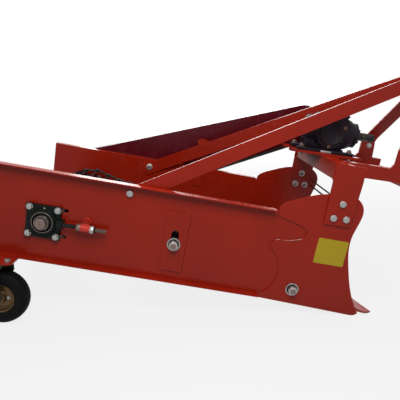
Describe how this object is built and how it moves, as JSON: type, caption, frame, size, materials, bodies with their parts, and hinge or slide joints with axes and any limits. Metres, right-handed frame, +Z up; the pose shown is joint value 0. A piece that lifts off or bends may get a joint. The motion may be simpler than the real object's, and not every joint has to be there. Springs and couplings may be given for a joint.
{
  "type": "potato digger",
  "caption": "Single-row potato digger for a three-point linkage: share, inclined rod elevator between sloping side plates, gearbox with chain drive, mast and two rear support wheels.",
  "frame": {"origin": "on the ground under the middle of the machine's outer box", "axes": "+X forward to the tractor, +Y to the machine's left, +Z up"},
  "size_m": [1.8542, 0.784, 0.973],
  "materials": {
    "red_paint": "gloss enamel",
    "maroon_paint": "gloss enamel",
    "blade_steel": "gloss enamel, worn",
    "black_paint": "satin enamel",
    "black_steel": "satin, oiled",
    "bright_steel": "machined",
    "zinc": "zinc plated",
    "bearing_green": "satin enamel",
    "yellow_zinc": "yellow passivated zinc",
    "tyre_black": "matt"
  },
  "bodies": {
    "frame": {"brace_left": "red_paint", "brace_right": "red_paint", "carrier_roller": "black_paint", "carrier_washer_left": "zinc", "carrier_washer_right": "zinc", "chain_cover": "maroon_paint", "cheek_plate_left": "red_paint", "cheek_plate_right": "red_paint", "cover_strap": "red_paint", "cross_beam": "red_paint", "drive_chain": "black_steel", "drive_shaft": "black_paint", "flange_bearing_left": "bearing_green", "flange_bearing_right": "bearing_green", "front_cross_tube": "red_paint", "gearbox": "black_paint", "gearbox_bearer_left": "red_paint", "gearbox_bearer_right": "red_paint", "guard_rod_lower": "bright_steel", "guard_rod_upper": "bright_steel", "leg_left": "red_paint", "leg_right": "red_paint", "lower_link_pin_left": "zinc", "lower_link_pin_right": "zinc", "mast_arm_left": "red_paint", "mast_arm_right": "red_paint", "nose_roller": "black_paint", "output_shaft": "bright_steel", "output_tube": "black_paint", "rail_left": "red_paint", "rail_right": "red_paint", "share_blade": "blade_steel", "share_crossbar": "red_paint", "share_ramp": "red_paint", "side_plate_left": "red_paint", "side_plate_right": "red_paint", "sprocket_front": "black_paint", "sprocket_rear": "black_paint", "tension_screw_left": "black_steel", "tension_screw_right": "black_steel", "top_link_clevis": "red_paint", "web_hooks_left": "black_steel", "web_hooks_right": "black_steel", "web_rods": "black_steel", "wheel_axle_left": "zinc", "wheel_axle_right": "zinc", "wheel_bracket_left": "red_paint", "wheel_bracket_right": "red_paint", "wheel_fork_left": "black_paint", "wheel_fork_right": "black_paint"},
    "wheel_right": {"tyre_right": "tyre_black", "rim_right": "yellow_zinc"},
    "wheel_left": {"tyre_left": "tyre_black", "rim_left": "yellow_zinc"},
    "pto_input": {"input_shaft": "bright_steel"}
  },
  "joints": [
    {"name": "wheel_right_spin", "type": "hinge", "parent": "frame", "child": "wheel_right", "pos_m": [-0.82324, -0.345, 0.104], "axis": [0, 1, 0], "continuous": true},
    {"name": "wheel_left_spin", "type": "hinge", "parent": "frame", "child": "wheel_left", "pos_m": [-0.82324, 0.345, 0.104], "axis": [0, 1, 0], "continuous": true},
    {"name": "pto_spin", "type": "hinge", "parent": "frame", "child": "pto_input", "pos_m": [0.61617, 0, 0.65661], "axis": [0.989, 0, -0.1478], "continuous": true}
  ]
}
